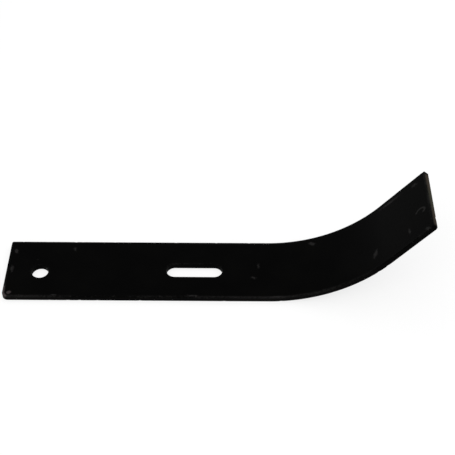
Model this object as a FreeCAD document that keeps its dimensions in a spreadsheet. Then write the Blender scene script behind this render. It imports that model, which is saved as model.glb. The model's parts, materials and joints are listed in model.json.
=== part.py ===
"""Rotary tiller blade: one length of flat steel bar, punched, then rolled up into a curved tip.

Frame: the origin is the centre of the bolt hole on the blade's underside. +Y runs along the
straight shank towards the tip, +X points to the near edge, and +Z points up through the steel,
to the side that the tip rises to. All lengths are in millimetres, and angles in degrees.
"""
import FreeCAD, Part
import math
import os

import Sketcher
from FreeCAD import Vector

NODE = "tiller_blade"

# Driving sizes: alias, value, what it measures
SIZES = (
    ("bar_width", 65.0, "width of the flat bar"),
    ("bar_thickness", 5.0, "thickness of the flat bar"),
    ("edge_radius", 0.5, "rounding of the bar's and the cut ends' edges"),
    ("shank_length", 227.5, "straight shank, from the square-cut end to the start of the bend"),
    ("bend_radius", 123.0, "inside of the bend, on the upper face"),
    ("bend_angle", 51.5, "rise of the tip above the shank"),
    ("tip_length", 53.0, "straight tip, from the end of the bend to the tip's edge"),
    ("hole_diameter", 14.5, "bolt hole, clear of a 12 mm or half-inch bolt"),
    ("hole_to_end", 29.5, "bolt hole centre to the shank's square-cut end"),
    ("hole_off_centre", 3.5, "bolt hole centre from the blade's centreline, to the near edge"),
    ("slot_width", 14.5, "slot, across the blade"),
    ("slot_length", 48.5, "slot, end to end along the blade"),
    ("slot_from_hole", 134.5, "bolt hole centre to slot centre, along the blade"),
    ("slot_off_centre", 1.5, "slot centre from the blade's centreline, to the near edge"),
    ("shank_near_corner", 5.0, "corner radius, shank end at the near edge, worn round"),
    ("shank_far_corner", 2.0, "corner radius, shank end at the far edge"),
    ("tip_near_corner", 2.0, "corner radius, tip at the near edge"),
    ("tip_far_corner", 1.0, "corner radius, tip at the far edge"),
)
SIZE = {alias: value for alias, value, meaning in SIZES}

SHARP_DEGREES = 20.0  # two faces that turn by more than this meet in a sharp edge


def add_sheet(doc):
    """The spreadsheet that every sketch and feature is bound to."""
    sheet = doc.addObject("Spreadsheet::Sheet", "sizes")
    for row, (alias, value, meaning) in enumerate(SIZES, start=1):
        sheet.set(f"A{row}", alias)
        sheet.set(f"B{row}", str(value))
        sheet.setAlias(f"B{row}", alias)
        sheet.set(f"C{row}", meaning)
    doc.recompute()
    return sheet


def add_sketch(body, role, name):
    """An empty sketch on one of the body's own origin planes."""
    plane = next(item for item in body.Origin.OriginFeatures if item.Role == role)
    sketch = body.newObject("Sketcher::SketchObject", name)
    sketch.AttachmentSupport = [(plane, "")]
    sketch.MapMode = "FlatFace"
    return sketch


def bind(sketch, name, kind, *where):
    """Add a dimension to a sketch under a name and drive it by an expression.

    The last item of where is the expression. The items before it are the geometry and
    point numbers of the constraint, and then the value that it starts from.
    """
    *parts, expression = where
    index = sketch.addConstraint(Sketcher.Constraint(kind, *parts))
    sketch.renameConstraint(index, name)
    sketch.setExpression(f"Constraints.{name}", expression)


def side_edges():
    """The x of the near and the far edge, with the bolt hole's axis at zero."""
    near = SIZE["bar_width"] / 2 - SIZE["hole_off_centre"]
    return near, near - SIZE["bar_width"]


def bend_points():
    """Where the side profile's lines and arcs meet, as (along, up) from the bolt hole."""
    angle = math.radians(SIZE["bend_angle"])
    start = SIZE["shank_length"] - SIZE["hole_to_end"]
    thick = SIZE["bar_thickness"]
    centre = Vector(start, thick + SIZE["bend_radius"], 0)
    outward = Vector(math.sin(angle), -math.cos(angle), 0)
    along_tip = Vector(math.cos(angle), math.sin(angle), 0)
    under = centre + outward * (SIZE["bend_radius"] + thick)
    upper = centre + outward * SIZE["bend_radius"]
    reach = along_tip * SIZE["tip_length"]
    return {
        "end_under": Vector(-SIZE["hole_to_end"], 0, 0),
        "end_upper": Vector(-SIZE["hole_to_end"], thick, 0),
        "start_under": Vector(start, 0, 0),
        "start_upper": Vector(start, thick, 0),
        "centre": centre,
        "bend_under": under,
        "bend_upper": upper,
        "tip_under": under + reach,
        "tip_upper": upper + reach,
    }


def add_profile(body):
    """Side view of the blade: shank, bend and tip, all of the bar's one thickness."""
    sketch = add_sketch(body, "YZ_Plane", "side_profile")
    at = bend_points()
    angle = math.radians(SIZE["bend_angle"])
    down = -math.pi / 2
    inner = Part.Circle(at["centre"], Vector(0, 0, 1), SIZE["bend_radius"])
    outer = Part.Circle(at["centre"], Vector(0, 0, 1), SIZE["bend_radius"] + SIZE["bar_thickness"])
    shank_under = sketch.addGeometry(Part.LineSegment(at["end_under"], at["start_under"]), False)
    arc_under = sketch.addGeometry(Part.ArcOfCircle(outer, down, down + angle), False)
    tip_under = sketch.addGeometry(Part.LineSegment(at["bend_under"], at["tip_under"]), False)
    tip_edge = sketch.addGeometry(Part.LineSegment(at["tip_under"], at["tip_upper"]), False)
    tip_upper = sketch.addGeometry(Part.LineSegment(at["tip_upper"], at["bend_upper"]), False)
    arc_upper = sketch.addGeometry(Part.ArcOfCircle(inner, down, down + angle), False)
    shank_upper = sketch.addGeometry(Part.LineSegment(at["start_upper"], at["end_upper"]), False)
    shank_edge = sketch.addGeometry(Part.LineSegment(at["end_upper"], at["end_under"]), False)

    start, end, middle, origin = 1, 2, 3, -1
    for kind, *where in (
        ("Tangent", shank_under, end, arc_under, start),
        ("Tangent", arc_under, end, tip_under, start),
        ("Coincident", tip_under, end, tip_edge, start),
        ("Coincident", tip_edge, end, tip_upper, start),
        ("Tangent", tip_upper, end, arc_upper, end),
        ("Tangent", arc_upper, start, shank_upper, start),
        ("Coincident", shank_upper, end, shank_edge, start),
        ("Coincident", shank_edge, end, shank_under, start),
        ("Coincident", arc_upper, middle, arc_under, middle),
        ("Horizontal", shank_under),
        ("Horizontal", shank_upper),
        ("Vertical", shank_edge),
        ("Parallel", tip_under, tip_upper),
        ("Perpendicular", tip_under, tip_edge),
        ("PointOnObject", shank_under, start, -1),
    ):
        sketch.addConstraint(Sketcher.Constraint(kind, *where))

    bind(sketch, "hole_to_end", "DistanceX", shank_under, start, origin, 1,
         SIZE["hole_to_end"], "sizes.hole_to_end")
    bind(sketch, "shank_length", "Distance", shank_under, SIZE["shank_length"],
         "sizes.shank_length")
    bind(sketch, "thickness", "Distance", shank_edge, SIZE["bar_thickness"],
         "sizes.bar_thickness")
    bind(sketch, "bend_radius", "Radius", arc_upper, SIZE["bend_radius"], "sizes.bend_radius")
    bind(sketch, "bend_angle", "Angle", tip_under, angle, "sizes.bend_angle")
    bind(sketch, "tip_length", "Distance", tip_under, SIZE["tip_length"], "sizes.tip_length")
    far_edge = "-sizes.bar_width / 2 - sizes.hole_off_centre"
    sketch.setExpression("AttachmentOffset.Base.z", far_edge)
    return sketch


def add_bar(body):
    """The bent bar, padded across its width from the far edge to the near edge."""
    pad = body.newObject("PartDesign::Pad", "bent_bar")
    pad.Profile = add_profile(body)
    pad.setExpression("Length", "sizes.bar_width")
    return pad


def nearest_edge(shape, point):
    """The name of the edge whose middle lies nearest to a point."""
    edges = shape.Edges
    best = min(range(len(edges)), key=lambda i: (edges[i].CenterOfMass - point).Length)
    return f"Edge{best + 1}"


def round_corners(body, bar):
    """The four corners of the blade in plan, each with its own radius."""
    at = bend_points()
    near, far = side_edges()
    base = bar
    for name, x, end in (
        ("shank_near_corner", near, "end"),
        ("shank_far_corner", far, "end"),
        ("tip_near_corner", near, "tip"),
        ("tip_far_corner", far, "tip"),
    ):
        middle = (at[end + "_under"] + at[end + "_upper"]) / 2
        edge = nearest_edge(base.Shape, Vector(x, middle.x, middle.y))
        corner = body.newObject("PartDesign::Fillet", name)
        corner.Base = (base, [edge])
        corner.setExpression("Radius", f"sizes.{name}")
        body.Document.recompute()
        base = corner
    return base


def is_sharp(shape, edge):
    """Do the two faces at this edge meet at a corner, and not in a smooth run?"""
    point = edge.valueAt((edge.FirstParameter + edge.LastParameter) / 2)
    normals = []
    for face in shape.ancestorsOfType(edge, Part.Face):
        normals.append(face.normalAt(*face.Surface.parameter(point)))
    turn = normals[0].getAngle(normals[1])
    return math.degrees(turn) > SHARP_DEGREES


def break_edges(body, blank):
    """The small rounding along every sharp edge of the bent bar, upper and under."""
    edges = enumerate(blank.Shape.Edges, start=1)
    names = [f"Edge{i}" for i, edge in edges if is_sharp(blank.Shape, edge)]
    rounding = body.newObject("PartDesign::Fillet", "broken_edges")
    rounding.Base = (blank, names)
    rounding.setExpression("Radius", "sizes.edge_radius")
    body.Document.recompute()
    return rounding


def punch(body, name, sketch):
    """Cut a sketch on the underside right through the shank, and make sure that it did."""
    before = body.Shape.Volume
    pocket = body.newObject("PartDesign::Pocket", name)
    pocket.Profile = sketch
    pocket.Type = "ThroughAll"
    pocket.Reversed = True  # the steel lies above the sketch's plane
    body.Document.recompute()
    wanted = Part.Face(sketch.Shape).Area * SIZE["bar_thickness"]
    if before - pocket.Shape.Volume < 0.99 * wanted:
        raise RuntimeError(f"{name} doesn't go right through the bar")


def punch_bolt_hole(body):
    """The round hole at the shank's end, on the frame's own axis."""
    sketch = add_sketch(body, "XY_Plane", "bolt_hole_outline")
    circle = Part.Circle(Vector(0, 0, 0), Vector(0, 0, 1), SIZE["hole_diameter"] / 2)
    hole = sketch.addGeometry(circle, False)
    sketch.addConstraint(Sketcher.Constraint("Coincident", hole, 3, -1, 1))
    bind(sketch, "diameter", "Diameter", hole, SIZE["hole_diameter"], "sizes.hole_diameter")
    body.Document.recompute()
    punch(body, "bolt_hole", sketch)


def punch_slot(body):
    """The lengthwise slot: two straight sides between two half-round ends."""
    sketch = add_sketch(body, "XY_Plane", "slot_outline")
    x = SIZE["slot_off_centre"] - SIZE["hole_off_centre"]
    y = SIZE["slot_from_hole"]
    radius = SIZE["slot_width"] / 2
    half = SIZE["slot_length"] / 2 - radius
    up = Vector(0, 0, 1)
    tip_end = Part.Circle(Vector(x, y + half, 0), up, radius)
    hole_end = Part.Circle(Vector(x, y - half, 0), up, radius)
    near_start, near_stop = Vector(x + radius, y - half, 0), Vector(x + radius, y + half, 0)
    far_start, far_stop = Vector(x - radius, y + half, 0), Vector(x - radius, y - half, 0)
    near = sketch.addGeometry(Part.LineSegment(near_start, near_stop), False)
    tip_arc = sketch.addGeometry(Part.ArcOfCircle(tip_end, 0, math.pi), False)
    far = sketch.addGeometry(Part.LineSegment(far_start, far_stop), False)
    hole_arc = sketch.addGeometry(Part.ArcOfCircle(hole_end, math.pi, 2 * math.pi), False)
    for kind, *where in (
        ("Tangent", near, 2, tip_arc, 1),
        ("Tangent", tip_arc, 2, far, 1),
        ("Tangent", far, 2, hole_arc, 1),
        ("Tangent", hole_arc, 2, near, 1),
        ("Vertical", near),
        ("Equal", tip_arc, hole_arc),
    ):
        sketch.addConstraint(Sketcher.Constraint(kind, *where))
    bind(sketch, "width", "Diameter", tip_arc, SIZE["slot_width"], "sizes.slot_width")
    bind(sketch, "between_centres", "DistanceY", hole_arc, 3, tip_arc, 3, 2 * half,
         "sizes.slot_length - sizes.slot_width")
    bind(sketch, "from_hole", "DistanceY", -1, 1, hole_arc, 3, y - half,
         "sizes.slot_from_hole - (sizes.slot_length - sizes.slot_width) / 2")
    bind(sketch, "off_hole", "DistanceX", -1, 1, hole_arc, 3, x,
         "sizes.slot_off_centre - sizes.hole_off_centre")
    body.Document.recompute()
    punch(body, "adjusting_slot", sketch)


def build_blade(doc):
    """The whole blade as one body: bar, corners, edges, hole and slot."""
    body = doc.addObject("PartDesign::Body", NODE)
    body.Label = NODE
    bar = add_bar(body)
    doc.recompute()
    blank = round_corners(body, bar)
    break_edges(body, blank)
    punch_bolt_hole(body)
    punch_slot(body)
    doc.recompute()
    return body


def check(doc, body):
    """Stop before anything is written if a feature failed or the blade isn't one sound solid."""
    for item in doc.Objects:
        if "Invalid" in item.State or "Error" in item.State:
            raise RuntimeError(f"{item.Name} failed: {item.State}")
    shape = body.Shape
    if shape.isNull() or not shape.isValid() or len(shape.Solids) != 1:
        raise RuntimeError(f"{body.Label} isn't one valid solid")


def main():
    doc = FreeCAD.newDocument("tiller_blade")
    add_sheet(doc)
    body = build_blade(doc)
    check(doc, body)
    os.makedirs("parts", exist_ok=True)
    body.Shape.exportStep(f"parts/{body.Label}.step")
    print(f"{body.Label}: {body.Shape.Volume:.1f} mm3, box {body.Shape.BoundBox}")


main()
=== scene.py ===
import json
from math import ceil, cos, hypot, pi, radians, sin

import bpy
from mathutils import Matrix, Vector
from mathutils.geometry import delaunay_2d_cdt


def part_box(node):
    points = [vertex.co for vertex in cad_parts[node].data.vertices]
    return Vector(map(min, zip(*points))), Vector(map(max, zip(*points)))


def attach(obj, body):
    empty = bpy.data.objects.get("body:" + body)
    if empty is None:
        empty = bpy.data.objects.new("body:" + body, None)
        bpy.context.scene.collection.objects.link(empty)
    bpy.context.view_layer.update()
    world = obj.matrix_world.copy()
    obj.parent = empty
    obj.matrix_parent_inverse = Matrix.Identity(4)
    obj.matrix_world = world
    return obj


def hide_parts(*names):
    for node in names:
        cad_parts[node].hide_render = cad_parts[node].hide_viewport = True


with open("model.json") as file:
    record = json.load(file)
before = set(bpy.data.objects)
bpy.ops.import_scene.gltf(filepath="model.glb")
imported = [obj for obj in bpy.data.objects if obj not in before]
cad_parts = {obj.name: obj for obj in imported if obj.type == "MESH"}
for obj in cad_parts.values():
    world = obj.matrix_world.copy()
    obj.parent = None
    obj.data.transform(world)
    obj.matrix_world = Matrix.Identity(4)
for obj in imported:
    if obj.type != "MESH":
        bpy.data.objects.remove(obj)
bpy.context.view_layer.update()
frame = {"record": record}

# ---------------------------------------------------------------------------
# The camera
# A long studio lens stands in front of the near edge and looks down at it by about 45
# degrees, with the bolt hole on the left and the rolled tip on the right.
# ---------------------------------------------------------------------------
MM = 0.001
AIM = Vector((-60.09, 162.79, 0)) * MM
CAMERA_DISTANCE = 990.8 * MM
CAMERA_PITCH = radians(45.195)
CAMERA_YAW = radians(-0.628)
CAMERA_ROLL = radians(0.112)
SENSOR_WIDTH, FOCAL_LENGTH = 36.0, 85.93     # in mm, as the lens takes them
CLIP_START, CLIP_END = 0.05, 20

ahead = Vector((
    -cos(CAMERA_YAW) * cos(CAMERA_PITCH),
    sin(CAMERA_YAW) * cos(CAMERA_PITCH),
    -sin(CAMERA_PITCH),
))
level = Vector((sin(CAMERA_YAW), cos(CAMERA_YAW), 0))
upright = level.cross(ahead)
right = level * cos(CAMERA_ROLL) - upright * sin(CAMERA_ROLL)
above = right.cross(ahead)

lens = bpy.data.cameras.new("studio_camera")
lens.sensor_fit = "HORIZONTAL"
lens.sensor_width = SENSOR_WIDTH
lens.lens = FOCAL_LENGTH
lens.clip_start = CLIP_START
lens.clip_end = CLIP_END
camera = bpy.data.objects.new("studio_camera", lens)
stand = Matrix((right, above, -ahead)).transposed().to_4x4()
stand.translation = AIM - ahead * CAMERA_DISTANCE
camera.matrix_world = stand
bpy.context.scene.collection.objects.link(camera)
bpy.context.scene.camera = camera

# ---------------------------------------------------------------------------
# The blade
# One length of 65 x 5 mm flat steel bar, painted black. It is sheared to length, punched
# from the upper side with a bolt hole and an adjusting slot, dressed along its edges, and
# rolled up cold at one end to make the tip.
# ---------------------------------------------------------------------------
mounts = {mount["name"]: mount for mount in frame["record"]["mounts"]}
bolt_hole, adjusting_slot = mounts["bolt_hole"], mounts["adjusting_slot"]
low, high = (Vector(corner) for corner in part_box("tiller_blade"))

FAR, NEAR, HEEL = low.x, high.x, low.y
THICKNESS = bolt_hole["dims"]["length_mm"] * MM
SHANK_LENGTH = 227.5 * MM
ROLL_RADIUS = 123.0 * MM          # of the upper face
ROLL_ANGLE = radians(51.5)
TIP_LENGTH = 53.0 * MM
ROLL_START = HEEL + SHANK_LENGTH
# The middle of the thickness keeps its length when the bar is rolled.
TIP = ROLL_START + (ROLL_RADIUS + THICKNESS / 2) * ROLL_ANGLE + TIP_LENGTH

# The four corners in turn: x, y, radius and the direction in which its arc starts.
CORNERS = (
    (NEAR, HEEL, 5.0 * MM, -pi / 2),
    (NEAR, TIP, 2.0 * MM, 0.0),
    (FAR, TIP, 1.0 * MM, pi / 2),
    (FAR, HEEL, 2.0 * MM, pi),
)
HOLE_RADIUS = bolt_hole["dims"]["r_mm"] * MM
SLOT_RADIUS = adjusting_slot["dims"]["hole_r_mm"] * MM
SLOT_LENGTH = adjusting_slot["dims"]["slot_length_mm"] * MM
# Each opening's centre in plan, the radius of its round ends and its length.
OPENINGS = (
    (bolt_hole["pos_m"][:2], HOLE_RADIUS, 2 * HOLE_RADIUS),
    (adjusting_slot["pos_m"][:2], SLOT_RADIUS, SLOT_LENGTH),
)
EDGE_RADIUS = 0.5 * MM
# The punch draws the upper edge in and leaves the lower one nearly square.
PUNCHED_UPPER, PUNCHED_LOWER = 0.35 * MM, 0.15 * MM

CORNER_STEPS = 12                 # in the arc of each corner in plan
ROUND_END_STEPS = 40              # in each half circle of a hole or slot
EDGE_STEPS = 5                    # over each rounded edge
WALL_STEPS = 5                    # down the straight part of a wall
LEAST_CORNER = 0.3 * MM
RIM_STEP = 1.4 * MM               # between points along a straight side
FACE_STEP = 2.0 * MM              # between the grid's points on a face
FIRST_RIM, FLAT_RIM = 0.25 * MM, 1.0 * MM    # flat strips beside a rounded edge


def outline(inset):
    """The bar's outline in plan, this far inside its edges, anticlockwise."""
    arcs = []
    for x, y, radius, start in CORNERS:
        kept = max(radius - inset, LEAST_CORNER)
        away = inset + kept
        centre_x = x - away if x == NEAR else x + away
        centre_y = y + away if y == HEEL else y - away
        turns = [start + pi / 2 * step / CORNER_STEPS for step in range(CORNER_STEPS + 1)]
        arcs.append([(centre_x + kept * cos(turn), centre_y + kept * sin(turn))
                     for turn in turns])
    points = []
    for arc, following, side in zip(arcs, arcs[1:] + arcs[:1], (TIP - HEEL, NEAR - FAR) * 2):
        points += arc
        (x0, y0), (x1, y1) = arc[-1], following[0]
        steps = ceil(side / RIM_STEP)
        points += [(x0 + (x1 - x0) * step / steps, y0 + (y1 - y0) * step / steps)
                   for step in range(1, steps)]
    return points


def round_ended(centre, radius, length, inset):
    """A hole or slot's outline in plan, this far out from its wall, clockwise."""
    half_straight = max(length / 2 - radius, 0)
    straight_steps = ceil(2 * half_straight / RIM_STEP)
    points = []
    for end, start in ((1, pi), (-1, 0.0)):
        middle_y = centre[1] + end * half_straight
        for step in range(ROUND_END_STEPS + (1 if straight_steps else 0)):
            turn = start - pi * step / ROUND_END_STEPS
            points.append((centre[0] + (radius + inset) * cos(turn),
                           middle_y + (radius + inset) * sin(turn)))
        wall = centre[0] + end * (radius + inset)
        points += [(wall, middle_y - end * 2 * half_straight * step / straight_steps)
                   for step in range(1, straight_steps)]
    return points


def edge_profile(upper_radius, lower_radius):
    """Inset and height of each ring from the upper face, over the edge, to the underside."""
    rings = [(upper_radius + FLAT_RIM, THICKNESS), (upper_radius + FIRST_RIM, THICKNESS)]
    for step in range(EDGE_STEPS + 1):
        turn = pi / 2 * step / EDGE_STEPS
        rings.append((upper_radius * (1 - sin(turn)),
                      THICKNESS - upper_radius * (1 - cos(turn))))
    wall = THICKNESS - upper_radius - lower_radius
    for step in range(1, WALL_STEPS):
        rings.append((0.0, THICKNESS - upper_radius - wall * (step / WALL_STEPS)))
    for step in range(EDGE_STEPS + 1):
        turn = pi / 2 * (1 - step / EDGE_STEPS)
        rings.append((lower_radius * (1 - sin(turn)), lower_radius * (1 - cos(turn))))
    return rings + [(lower_radius + FIRST_RIM, 0.0), (lower_radius + FLAT_RIM, 0.0)]


blank_points, blank_faces = [], []


def lay_rings(loops, heights):
    """Adds rings of points and the strips between them; gives the first and last ring."""
    numbered = []
    for loop, height in zip(loops, heights):
        first = len(blank_points)
        blank_points.extend((x, y, height) for x, y in loop)
        numbered.append(range(first, len(blank_points)))
    for upper, lower in zip(numbered, numbered[1:]):
        count = len(upper)
        for index in range(count):
            after = (index + 1) % count
            blank_faces.append((upper[index], lower[index], lower[after], upper[after]))
    return numbered[0], numbered[-1]


def distance_from(opening, x, y):
    """How far a place in plan lies outside a hole or slot."""
    (centre_x, centre_y), radius, length = opening
    beyond = max(abs(y - centre_y) - max(length / 2 - radius, 0), 0)
    return hypot(x - centre_x, beyond) - radius


ROW_STEP = FACE_STEP * 0.866      # the height of a triangle with equal sides
STAGGER = (0.75, 0.25)            # where even and odd rows start, in steps
GRID_MARGIN = EDGE_RADIUS + FLAT_RIM + FACE_STEP * 0.75
INSIDE_ONLY, SAME_POINT = 1, 1e-7


def fill_face(rings, height, opening_inset, facing_up):
    """Triangles between the outer ring and the hole's and slot's, over a staggered grid."""
    plan, numbers, edges = [], [], []
    for ring in rings:
        first = len(plan)
        plan += [Vector(blank_points[number][:2]) for number in ring]
        numbers += list(ring)
        edges += [(first + index, first + (index + 1) % len(ring))
                  for index in range(len(ring))]
    rows = ceil((TIP - HEEL) / ROW_STEP)
    columns = ceil((NEAR - FAR) / FACE_STEP)
    for row in range(rows):
        y = HEEL + (row + 0.5) * (TIP - HEEL) / rows
        for column in range(columns):
            x = FAR + (column + STAGGER[row % 2]) * (NEAR - FAR) / columns
            at_side = min(x - FAR, NEAR - x, y - HEEL, TIP - y) < GRID_MARGIN
            at_corner = any(hypot(x - corner_x, y - corner_y) < radius + GRID_MARGIN
                            for corner_x, corner_y, radius, _ in CORNERS)
            at_opening = any(distance_from(opening, x, y) <= GRID_MARGIN
                             for opening in OPENINGS)
            if not (at_side or at_corner or at_opening):
                plan.append(Vector((x, y)))
                numbers.append(len(blank_points))
                blank_points.append((x, y, height))
    spots, _, triangles, sources, _, _ = delaunay_2d_cdt(
        plan, edges, [], INSIDE_ONLY, SAME_POINT, True)
    for triangle in triangles:
        middle = sum((spots[corner] for corner in triangle), Vector((0, 0))) / 3
        if all(distance_from(opening, *middle) > opening_inset for opening in OPENINGS):
            corners = [numbers[sources[corner][0]] for corner in triangle]
            blank_faces.append(corners if facing_up else corners[::-1])


rim = edge_profile(EDGE_RADIUS, EDGE_RADIUS)
ends = [lay_rings([outline(inset) for inset, _ in rim], [height for _, height in rim])]
punched = edge_profile(PUNCHED_UPPER, PUNCHED_LOWER)
for centre, radius, length in OPENINGS:
    loops = [round_ended(centre, radius, length, inset) for inset, _ in punched]
    ends.append(lay_rings(loops, [height for _, height in punched]))
fill_face([upper for upper, _ in ends], THICKNESS, PUNCHED_UPPER + FLAT_RIM, True)
fill_face([lower for _, lower in ends], 0.0, PUNCHED_LOWER + FLAT_RIM, False)

blank = bpy.data.meshes.new("blade_blank")
blank.from_pydata(blank_points, [], blank_faces)
blank.validate()
blank.update()
blank.shade_smooth()
blade = bpy.data.objects.new("blade", blank)
bpy.context.scene.collection.objects.link(blade)


class Wire:
    """A node's socket, with its sums written as plain Python."""

    def __init__(self, tree, socket=None):
        self.tree, self.socket = tree, socket

    def node(self, kind, settings=(), values=(), output=0):
        """Any node: its settings are set first, then its sockets' values or links."""
        made = self.tree.nodes.new(kind)
        for name, setting in dict(settings).items():
            setattr(made, name, setting)
        for name, value in dict(values).items():
            if isinstance(value, Wire):
                self.tree.links.new(value.socket, made.inputs[name])
            else:
                made.inputs[name].default_value = value
        return Wire(self.tree, made.outputs[output] if len(made.outputs) else None)

    def math(self, operation, *values):
        return self.node("ShaderNodeMath", {"operation": operation}, enumerate(values))

    def vector_math(self, operation, *values):
        return self.node("ShaderNodeVectorMath", {"operation": operation}, enumerate(values))

    def part(self, letter):
        """One of a vector's three numbers."""
        return self.node("ShaderNodeSeparateXYZ", (), {0: self}, letter)

    def at_most(self, other):
        return self.math("MINIMUM", self, other)

    def at_least(self, other):
        return self.math("MAXIMUM", self, other)

    def root(self):
        return self.math("SQRT", self)

    def absolute(self):
        return self.math("ABSOLUTE", self)

    def rise(self, start, end):
        """0 up to start, 1 from end, and a smooth slope between; start may be the higher."""
        values = {"Value": self, "From Min": start, "From Max": end}
        if start > end:
            values = {"Value": self, "From Min": end, "From Max": start,
                      "To Min": 1.0, "To Max": 0.0}
        return self.node("ShaderNodeMapRange", {"interpolation_type": "SMOOTHSTEP"}, values)

    def __add__(self, other):
        return self.math("ADD", self, other)

    def __radd__(self, other):
        return self.math("ADD", other, self)

    def __sub__(self, other):
        return self.math("SUBTRACT", self, other)

    def __rsub__(self, other):
        return self.math("SUBTRACT", other, self)

    def __mul__(self, other):
        return self.math("MULTIPLY", self, other)

    def __rmul__(self, other):
        return self.math("MULTIPLY", other, self)

    def __truediv__(self, other):
        return self.math("DIVIDE", self, other)

    def __rtruediv__(self, other):
        return self.math("DIVIDE", other, self)


def slant(first, second):
    """The length of the slant over two legs."""
    return (first * first + second * second).root()


def inside_edges(x, y):
    """How far a place on the bar, in plan and in mm, lies inside its rounded outline."""
    nearest = None
    for corner_x, corner_y, radius, _ in CORNERS:
        radius = radius / MM
        side_x, side_y = (1 if corner_x == NEAR else -1), (1 if corner_y == TIP else -1)
        over_x = side_x * (x - corner_x / MM) + radius
        over_y = side_y * (y - corner_y / MM) + radius
        round_part = slant(over_x.at_least(0.0), over_y.at_least(0.0))
        straight_part = over_x.at_least(over_y).at_most(0.0)
        inside = radius - round_part - straight_part
        nearest = inside if nearest is None else nearest.at_most(inside)
    return nearest


def outside_opening(opening, x, y):
    """How far a place, in plan and in mm, lies outside a hole or slot."""
    (centre_x, centre_y), radius, length = opening
    half_straight = max(length / 2 - radius, 0) / MM
    past_straight = ((y - centre_y / MM).absolute() - half_straight).at_least(0.0)
    return slant(x - centre_x / MM, past_straight) - radius / MM


GRAIN_ROUGHNESS = 0.55


def grain(place, width, detail=2.0, stretch=(1.0, 1.0, 1.0), apart=0.0):
    """Cloudy noise from 0 to 1, with grains about this many mm wide."""
    moved = place.vector_math("MULTIPLY_ADD", place, stretch, (apart, apart, apart))
    return moved.node(
        "ShaderNodeTexNoise", {"noise_dimensions": "3D"},
        {"Vector": moved, "Scale": 1 / width, "Detail": detail, "Roughness": GRAIN_ROUGHNESS})


SPOT_HALF_DEPTH = 4.0             # in mm


def away_from(place, spot, half_sizes, turn=0.0):
    """0 at a spot on the upper face and 1 at the rim of an ellipse of these half sizes, in mm."""
    centre, sizes = (*spot, THICKNESS / MM), (*half_sizes, SPOT_HALF_DEPTH)
    moved = place.node(
        "ShaderNodeMapping", {"vector_type": "TEXTURE"},
        {"Vector": place, "Location": centre, "Rotation": (0, 0, radians(turn)),
         "Scale": sizes})
    return moved.node("ShaderNodeVectorMath", {"operation": "LENGTH"}, {0: moved}, "Value")


# The colour mixer's sockets: its share, its two colours and its result.
MIX_SHARE, MIX_FIRST, MIX_SECOND, MIX_RESULT = 0, 6, 7, 2


def blend(share, first, second):
    """The first colour where share is 0 and the second where it is 1."""
    return share.node(
        "ShaderNodeMix", {"data_type": "RGBA", "clamp_factor": True},
        {MIX_SHARE: share, MIX_FIRST: first, MIX_SECOND: second}, MIX_RESULT)


paint = bpy.data.materials.new("blade_paint")
paint.use_nodes = True
coat = paint.node_tree.nodes["Principled BSDF"]
flat_place = Wire(paint.node_tree).node(
    "ShaderNodeAttribute", {"attribute_type": "GEOMETRY", "attribute_name": "flat_place"},
    (), "Vector")
# The place on the bar before it was rolled, in mm. Each pair that rise is given below says
# where a mark starts and where it is full, in mm or in shares of a cloud of noise.
place = flat_place.vector_math("MULTIPLY", flat_place, (1 / MM,) * 3)
across, along, up = (place.part(letter) for letter in "XYZ")

OPENINGS_SPARED = 0.4             # an opening's arris wears as if it lay this much farther off
from_faces = up.at_most(THICKNESS / MM - up).at_least(0.0)
arris = slant(inside_edges(across, along).at_least(0.0), from_faces)
walls = None
for opening in OPENINGS:
    wall = outside_opening(opening, across, along).at_least(0.0)
    arris = arris.at_most(slant(wall, from_faces) + OPENINGS_SPARED)
    walls = wall if walls is None else walls.at_most(wall)

# The paint thins on every arris and is rubbed grey there in lengths. This grey band along the
# arrises is also a painted highlight.
RUBBED_AND_HIGHLIGHT_BAND, RUBBED_AND_HIGHLIGHT_CLOUD = (2.8, 0.2), (0.50, 0.84)
LENGTHS_SHARE, CRUMBS_SHARE = 0.7, 0.5
lengths = grain(place, width=22.0, detail=3.0, stretch=(1.0, 0.35, 1.0), apart=3.0)
crumbs = grain(place, width=1.3, detail=3.0, apart=11.0)
patches = (lengths * LENGTHS_SHARE + crumbs * CRUMBS_SHARE).rise(*RUBBED_AND_HIGHLIGHT_CLOUD)
rubbed_and_arris_highlight = arris.rise(*RUBBED_AND_HIGHLIGHT_BAND) * patches

# Small chips lie along the edges and, fewer, on the faces.
CHIP_BAND, CHIP_CLOUD = (4.0, 0.0), (0.78, 0.82)
MORE_AT_EDGES, CHIP_STRENGTH = 0.14, 0.4
chip_cells = grain(place, width=2.6, apart=31.0)
chip_cells += arris.rise(*CHIP_BAND) * MORE_AT_EDGES
chipped = chip_cells.rise(*CHIP_CLOUD) * CHIP_STRENGTH

# Places on the upper face where the paint is rubbed or knocked through, in mm across and
# along the bar before it was rolled: place, half length and half width, turn and strength.
SCUFFS = (
    ((13, 300), (5.2, 2.6), -25, 1.0),
    ((-29, 239), (4.2, 2.2), 60, 1.0),
    ((16, 339), (3.8, 1.4), 5, 1.0),
    ((-31, 322), (15.0, 1.6), 88, 0.8),
    ((-29, 351), (4.2, 1.9), 80, 0.9),
    ((27, 358), (4.2, 1.6), 60, 0.8),
    ((-27, 28), (2.8, 1.7), 20, 0.7),
    ((-24, -24), (3.4, 2.0), 20, 1.0),
    ((-3, -25), (4.8, 1.9), 0, 0.8),
    ((28, 205), (11.0, 1.2), 90, 0.9),
    ((27, 134), (7.0, 1.2), 90, 0.8),
    ((27, 15), (3.2, 1.1), 90, 0.9),
    ((6, 186), (2.8, 1.9), 60, 0.7),
    ((-8, 190), (3.6, 1.7), 10, 0.6),
)
SCUFF_REACH, SCUFF_CLOUD = 1.1, (0.05, 0.75)
RAGGEDNESS = 1.6
ragged = crumbs * RAGGEDNESS - RAGGEDNESS / 2
scuffed = None
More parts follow.
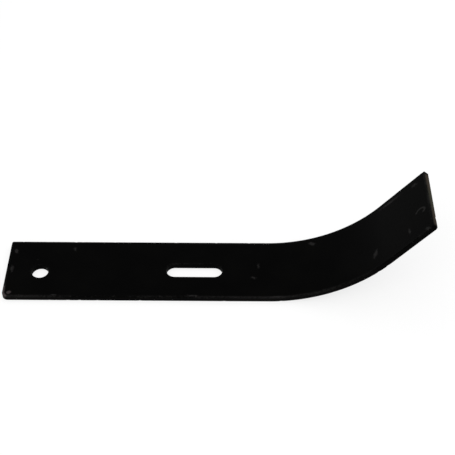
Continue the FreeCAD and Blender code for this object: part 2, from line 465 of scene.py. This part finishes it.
for spot, half_sizes, turn, strength in SCUFFS:
    mark = (SCUFF_REACH - away_from(place, spot, half_sizes, turn)) * strength
    scuffed = mark if scuffed is None else scuffed.at_least(mark)

# One blow has left a hooked mark, half of a long ring, near the tip.
HOOK_PLACE, HOOK_HALF_SIZES = (4, 353), (2.9, 4.7)
HOOK_OPENS = (0.8, 0.3)           # the side on which the ring stays open
HOOK_CUT, UPPER_HALF = (2.4, 0.8), (2.0, 3.0)
HOOK_STRENGTH, HOOK_FINENESS, HOOK_THRESHOLD = 3.0, 2.6, 2.0
off_ring = (away_from(place, HOOK_PLACE, HOOK_HALF_SIZES) - 1.0).absolute()
towards_opening = ((across - HOOK_PLACE[0]) * HOOK_OPENS[0]
                   - (along - HOOK_PLACE[1]) * HOOK_OPENS[1])
half_ring = towards_opening.rise(*HOOK_CUT) * up.rise(*UPPER_HALF)
hook = half_ring * HOOK_STRENGTH - off_ring * HOOK_FINENESS - HOOK_THRESHOLD
scuffed = (scuffed.at_least(hook) + ragged).rise(*SCUFF_CLOUD)

# The sheared face of the tip has lost its paint in the soil and is brown, dull steel,
# but for its two corners.
END_FACE = (0.45, 0.20)           # this far inside the end
SCOURED_HEIGHTS, SCOURED_SLOPE = (6.0, 2.6), 0.018
TIP_CORNERS_KEPT, OLIVE_MIDDLE = (1.8, 4.5), (6.0, 16.0)
LEAST_SCOURED, SCOURED_CRUMBS = 0.62, 0.6
BROWN_SIDES_SHARE, BROWN_GRAIN_SHARE = 0.7, 0.3
on_tip_end = along.rise(*(TIP / MM - inside for inside in END_FACE))
on_heel_end = along.rise(*(HEEL / MM + inside for inside in END_FACE))
from_sides = (across - FAR / MM).at_most(NEAR / MM - across)
scoured = (up + (across - FAR / MM) * SCOURED_SLOPE).rise(*SCOURED_HEIGHTS)
tip_face = (on_tip_end * from_sides.rise(*TIP_CORNERS_KEPT) * scoured
            * (LEAST_SCOURED + crumbs * SCOURED_CRUMBS).at_most(1.0))
from_middle = (across - (NEAR + FAR) / 2 / MM).absolute()
browned = (from_middle.rise(*OLIVE_MIDDLE) * BROWN_SIDES_SHARE
           + grain(place, width=4.0) * BROWN_GRAIN_SHARE)

# One corner of the heel has been ground down to dull steel on its end, and a spot
# beside it is knocked bare. This pale patch is also a painted highlight where the rounded corner
# catches the light.
HEEL_CORNER, GROUND_SIZES = (NEAR / MM, HEEL / MM), (13.0, 4.6)
GROUND_RAGGED, GROUND_CLOUD, GROUND_BAND = 0.4, (1.1, 0.6), (2.6, 0.5)
KNOCKED_PLACE, KNOCKED_SIZES, KNOCKED_TURN = (24.5, -23.8), (2.0, 2.6), 30
KNOCKED_RAGGED, KNOCKED_CLOUD, KNOCKED_STRENGTH = 0.5, (1.0, 0.5), 0.6
from_corner = away_from(place, HEEL_CORNER, GROUND_SIZES)
ground = (from_corner + ragged * GROUND_RAGGED).rise(*GROUND_CLOUD)
ground = ground * (arris + ragged).rise(*GROUND_BAND)
from_knock = away_from(place, KNOCKED_PLACE, KNOCKED_SIZES, KNOCKED_TURN)
knocked = (from_knock + ragged * KNOCKED_RAGGED).rise(*KNOCKED_CLOUD) * KNOCKED_STRENGTH
corner_worn_and_highlight = ground.at_least(knocked)

PAINT_BLACK = (0.0003, 0.0003, 0.0003, 1)
PAINT_DUSTY = (0.0009, 0.0009, 0.0008, 1)
# The grey of rubbed paint, which along the arrises is also a painted highlight.
PAINT_RUBBED_AND_HIGHLIGHT = (0.0135, 0.0130, 0.0128, 1)
# Bare steel at the heel corner, also a painted highlight there.
STEEL_BARE_AND_HIGHLIGHT = (0.062, 0.050, 0.052, 1)
STEEL_BROWN = (0.043, 0.032, 0.023, 1)
STEEL_OLIVE = (0.037, 0.037, 0.025, 1)
STEEL_CHIPPED = (0.030, 0.028, 0.026, 1)
DUST_CLOUD = (0.35, 0.75)
dust = grain(place, width=35.0, detail=3.0)
colour = blend(dust.rise(*DUST_CLOUD), PAINT_BLACK, PAINT_DUSTY)
# Rubbed and scuffed paint. Along the arrises this grey is also a painted highlight.
colour = blend(rubbed_and_arris_highlight.at_least(scuffed), colour, PAINT_RUBBED_AND_HIGHLIGHT)
colour = blend(chipped, colour, STEEL_CHIPPED)
# The heel corner's bare steel, which is partly a painted highlight.
colour = blend(corner_worn_and_highlight, colour, STEEL_BARE_AND_HIGHLIGHT)
colour = blend(tip_face, colour, blend(browned, STEEL_OLIVE, STEEL_BROWN))

# Sheared and punched walls are burnished above and torn below, under the paint.
TORN_HEIGHTS, PUNCHED_WALL = (3.4, 2.2), (0.3, 0.1)
cut_walls = walls.rise(*PUNCHED_WALL).at_least(on_tip_end).at_least(on_heel_end)
torn = up.rise(*TORN_HEIGHTS) * cut_walls
tears = grain(place, width=0.7, stretch=(1.0, 1.0, 0.25)) * torn

SPECULAR_LEVEL, BARE_METALLIC = 0.013, 0.3
LEAST_ROUGHNESS, DUST_ROUGHER, PEEL_ROUGHER, BARE_ROUGHER = 0.40, 0.10, 0.06, 0.15
RELIEF_STRENGTH, RELIEF_DEPTH = 0.55, 0.06 * MM
PEEL_RISE, WAVES_RISE, TEARS_RISE = 0.35, 0.9, 1.6
RUBBED_DROP, SCUFFED_DROP, BARE_DROP = 0.3, 0.6, 0.8
bare = tip_face.at_least(corner_worn_and_highlight).at_least(chipped)
peel = grain(place, width=0.9)
waves = grain(place, width=7.0)
roughness = (LEAST_ROUGHNESS + dust * DUST_ROUGHER + peel * PEEL_ROUGHER
             + bare * BARE_ROUGHER)
relief = (peel * PEEL_RISE + waves * WAVES_RISE + tears * TEARS_RISE
          - rubbed_and_arris_highlight * RUBBED_DROP - scuffed * SCUFFED_DROP - bare * BARE_DROP)
bumped = relief.node(
    "ShaderNodeBump", (),
    {"Strength": RELIEF_STRENGTH, "Distance": RELIEF_DEPTH, "Height": relief})

coat.inputs["Specular IOR Level"].default_value = SPECULAR_LEVEL
for socket, value in (("Base Color", colour), ("Roughness", roughness),
                      ("Metallic", bare * BARE_METALLIC), ("Normal", bumped)):
    paint.node_tree.links.new(value.socket, coat.inputs[socket])

# The flat blank, marked with each point's place on it, is dented a little along its
# edges and wrapped round the roll: straight, then an arc, then straight again.
rolling = bpy.data.node_groups.new("roll_up_the_tip", "GeometryNodeTree")
ROLL_INPUTS = (
    ("Blank", "NodeSocketGeometry", None),
    ("Roll Start", "NodeSocketFloat", ROLL_START),
    ("Roll Radius", "NodeSocketFloat", ROLL_RADIUS),
    ("Roll Angle", "NodeSocketFloat", ROLL_ANGLE),
    ("Thickness", "NodeSocketFloat", THICKNESS),
    ("Unevenness", "NodeSocketFloat", 0.04 * MM),
    ("Nick Depth", "NodeSocketFloat", 0.25 * MM),
    ("Nick Length", "NodeSocketFloat", 5.0 * MM),
    ("Seed", "NodeSocketFloat", 7.0),
    ("Paint", "NodeSocketMaterial", paint),
)
for name, kind, _ in ROLL_INPUTS:
    rolling.interface.new_socket(name, in_out="INPUT", socket_type=kind)
rolling.interface.new_socket("Blade", in_out="OUTPUT", socket_type="NodeSocketGeometry")
entry = rolling.nodes.new("NodeGroupInput")
given = {name: Wire(rolling, entry.outputs[name]) for name, _, _ in ROLL_INPUTS}
flat = given["Blank"]
position = flat.node("GeometryNodeInputPosition")
outward = flat.node("GeometryNodeInputNormal")
x, y, height = (position.part(letter) for letter in "XYZ")

marked = flat.node(
    "GeometryNodeStoreNamedAttribute", {"data_type": "FLOAT_VECTOR", "domain": "POINT"},
    {"Geometry": flat, "Name": "flat_place", "Value": position})

NICKED_BAND, NICK_CLOUD = (1.0, 0.3), (0.60, 0.74)
SWELL_SCALE = 30.0                # grains to the metre
depth = height.at_most(given["Thickness"] - height).at_least(0.0)
border = inside_edges(x * (1 / MM), y * (1 / MM)).at_least(0.0)
on_arris = slant(border, depth * (1 / MM)).rise(*NICKED_BAND)
seed_shift = flat.node("ShaderNodeCombineXYZ", (), {"Z": given["Seed"]})
shifted = position.vector_math("ADD", position, seed_shift)
nick_noise, swell = (
    flat.node("ShaderNodeTexNoise", {"noise_dimensions": "3D"},
              {"Vector": shifted, "Scale": scale, "Detail": 1.0})
    for scale in (1 / given["Nick Length"], SWELL_SCALE))
nicks = given["Nick Depth"] * nick_noise.rise(*NICK_CLOUD) * on_arris
pushed_in = nicks + given["Unevenness"] * swell
dent = outward.node(
    "ShaderNodeVectorMath", {"operation": "SCALE"}, {0: outward, "Scale": pushed_in * -1.0})
dented = flat.node("GeometryNodeSetPosition", (), {"Geometry": marked, "Offset": dent})

middle_radius = given["Roll Radius"] + given["Thickness"] * 0.5
past = (y - given["Roll Start"]).at_least(0.0)
turned = (past / middle_radius).at_most(given["Roll Angle"])
beyond = (past - middle_radius * given["Roll Angle"]).at_least(0.0)
sine, cosine = turned.math("SINE", turned), turned.math("COSINE", turned)
reach = given["Roll Radius"] + given["Thickness"] - height
rolled_place = flat.node("ShaderNodeCombineXYZ", (), {
    "X": x,
    "Y": y.at_most(given["Roll Start"]) + reach * sine + beyond * cosine,
    "Z": given["Roll Radius"] + given["Thickness"] - reach * cosine + beyond * sine,
})
rolled = flat.node(
    "GeometryNodeSetPosition", (), {"Geometry": dented, "Position": rolled_place})
solid = flat.node("GeometryNodeRealizeInstances", (), {"Geometry": rolled})
painted = flat.node(
    "GeometryNodeSetMaterial", (), {"Geometry": solid, "Material": given["Paint"]})
leaving = rolling.nodes.new("NodeGroupOutput")
rolling.links.new(painted.socket, leaving.inputs["Blade"])

roll = blade.modifiers.new("roll_up_the_tip", "NODES")
roll.node_group = rolling
roll_values = {name: value for name, _, value in ROLL_INPUTS if value is not None}
for item in rolling.interface.items_tree:
    if item.in_out == "INPUT" and item.name in roll_values:
        roll[item.identifier] = roll_values[item.name]
depsgraph = bpy.context.evaluated_depsgraph_get()
rolled_mesh = bpy.data.meshes.new_from_object(
    blade.evaluated_get(depsgraph), preserve_all_data_layers=True, depsgraph=depsgraph)
blade.modifiers.clear()
blade.data = rolled_mesh

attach(blade, "root")
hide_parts("tiller_blade")

# ---------------------------------------------------------------------------
# The studio
# A large white floor and a white surround, with one wide soft lamp over the near side
# and a weaker one over the tip. They aren't part of the blade.
# ---------------------------------------------------------------------------
FLOOR_HALF = 4.0
FLOOR_DROP = 0.1 * MM
FLOOR_GREY = (0.25, 0.25, 0.25, 1)
FLOOR_GLOW = 0.75
SURROUND_SEEN, SURROUND_CAST = 1.0, 0.85
LAMPS_FACE = Vector((0, 0.15, 0))
# Each lamp's name, place, side and power.
LAMPS = (
    ("near_lamp", Vector((0.9, -0.3, 1.2)), 0.9, 5.5),
    ("tip_lamp", Vector((-0.5, 1.1, 1.0)), 0.7, 2.5),
)


def seen_directly(start):
    """1 for what the lens, a reflection or a pane sees, and 0 for light on its way."""
    lens_ray, glossy_ray, pane_ray = (
        start.node("ShaderNodeLightPath", (), (), name)
        for name in ("Is Camera Ray", "Is Glossy Ray", "Is Transmission Ray"))
    return lens_ray.at_least(glossy_ray).at_least(pane_ray)


floor_mesh = bpy.data.meshes.new("floor")
floor_mesh.from_pydata(
    [(x * FLOOR_HALF, y * FLOOR_HALF, -FLOOR_DROP)
     for x, y in ((-1, -1), (1, -1), (1, 1), (-1, 1))],
    [], [(0, 1, 2, 3)])
floor = bpy.data.objects.new("floor", floor_mesh)
bpy.context.scene.collection.objects.link(floor)
floor_white = bpy.data.materials.new("floor_white")
floor_white.use_nodes = True
floor_white.node_tree.nodes.clear()
shade = Wire(floor_white.node_tree)
glow = shade.node("ShaderNodeEmission", (), {"Strength": seen_directly(shade) * FLOOR_GLOW})
dull = shade.node("ShaderNodeBsdfDiffuse", (), {"Color": FLOOR_GREY})
both = shade.node("ShaderNodeAddShader", (), {0: glow, 1: dull})
shade.node("ShaderNodeOutputMaterial", (), {"Surface": both})
floor_mesh.materials.append(floor_white)

world = bpy.data.worlds.new("white_surround")
world.use_nodes = True
bpy.context.scene.world = world
world.node_tree.nodes.clear()
sky = Wire(world.node_tree)
brightness = seen_directly(sky) * (SURROUND_SEEN - SURROUND_CAST) + SURROUND_CAST
surround = sky.node(
    "ShaderNodeBackground", (), {"Color": (1, 1, 1, 1), "Strength": brightness})
sky.node("ShaderNodeOutputWorld", (), {"Surface": surround})

for name, stands, side, power in LAMPS:
    lamp = bpy.data.lights.new(name, "AREA")
    lamp.size, lamp.energy = side, power
    holder = bpy.data.objects.new(name, lamp)
    aimed = (stands - LAMPS_FACE).to_track_quat("Z", "Y").to_matrix().to_4x4()
    aimed.translation = stands
    holder.matrix_world = aimed
    bpy.context.scene.collection.objects.link(holder)

bpy.context.scene.view_settings.view_transform = "Standard"
